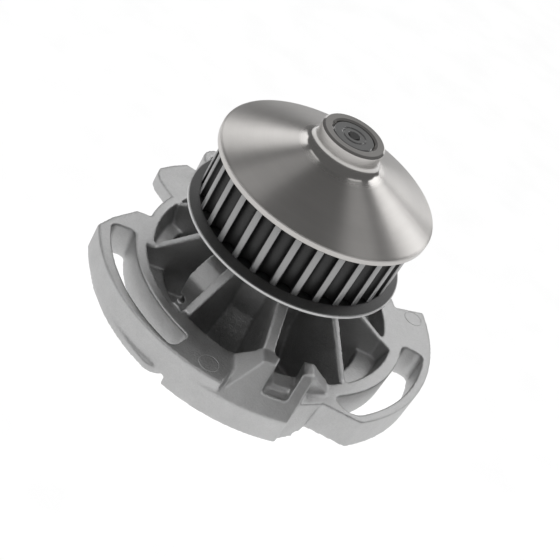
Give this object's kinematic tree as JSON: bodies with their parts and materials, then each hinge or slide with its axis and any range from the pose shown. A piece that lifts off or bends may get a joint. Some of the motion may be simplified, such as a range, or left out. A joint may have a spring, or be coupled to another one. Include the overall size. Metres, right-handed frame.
{
  "type": "water pump",
  "caption": "Engine water pump: cast body with curved mounting slots, toothed belt pulley on a sealed ball bearing shaft, face seal and vaned impeller.",
  "frame": {"origin": "on the axis of the spigot, in the plane of the mounting face", "axes": "+Z along the shaft towards the pulley; -Y towards the notched front wall; +X towards the right ear. The shaft is parallel to Z and 4.4 mm off the spigot's axis."},
  "size_m": [0.1288, 0.1369, 0.1047],
  "materials": {
    "cast_aluminium": "as cast, matt",
    "turned_steel": "fine circular turning marks",
    "sintered_steel": "sintered, satin grey",
    "bright_steel": "ground, bright",
    "rubber": "matt black",
    "brass": "drawn, satin",
    "graphite": "lapped carbon, dull",
    "ceramic": "lapped ceramic, satin",
    "polymer": "moulded phenolic, matt"
  },
  "bodies": {
    "housing": {"housing": "cast_aluminium", "spigot_o_ring": "rubber", "bearing_outer_race": "bright_steel", "front_bearing_seal": "rubber", "rear_bearing_seal": "rubber", "seal_case": "brass", "seal_bellows": "rubber", "seal_spring": "bright_steel", "seal_ring_carrier": "bright_steel", "carbon_seal_ring": "graphite"},
    "rotor": {"shaft": "bright_steel", "pulley_cone": "turned_steel", "toothed_ring": "sintered_steel", "rear_guide_flange": "sintered_steel", "water_slinger": "polymer", "seal_sleeve": "bright_steel", "seat_rubber_boot": "rubber", "ceramic_seat": "ceramic", "impeller_insert": "bright_steel", "impeller": "polymer"},
    "front_cage": {"front_ball_cage": "polymer", "front_balls": "bright_steel"},
    "rear_cage": {"rear_ball_cage": "polymer", "rear_balls": "bright_steel"}
  },
  "joints": [
    {"name": "shaft_spin", "type": "hinge", "parent": "housing", "child": "rotor", "pos_m": [-0.00289, -0.00332, 0], "axis": [0, 0, 1], "continuous": true},
    {"name": "front_cage_spin", "type": "hinge", "parent": "housing", "child": "front_cage", "pos_m": [-0.00289, -0.00332, 0], "axis": [0, 0, 1], "continuous": true},
    {"name": "rear_cage_spin", "type": "hinge", "parent": "housing", "child": "rear_cage", "pos_m": [-0.00289, -0.00332, 0], "axis": [0, 0, 1], "continuous": true}
  ],
  "couplings": [
    {"joint": "front_cage_spin", "follows": "shaft_spin", "ratio": 0.345},
    {"joint": "rear_cage_spin", "follows": "shaft_spin", "ratio": 0.345}
  ]
}
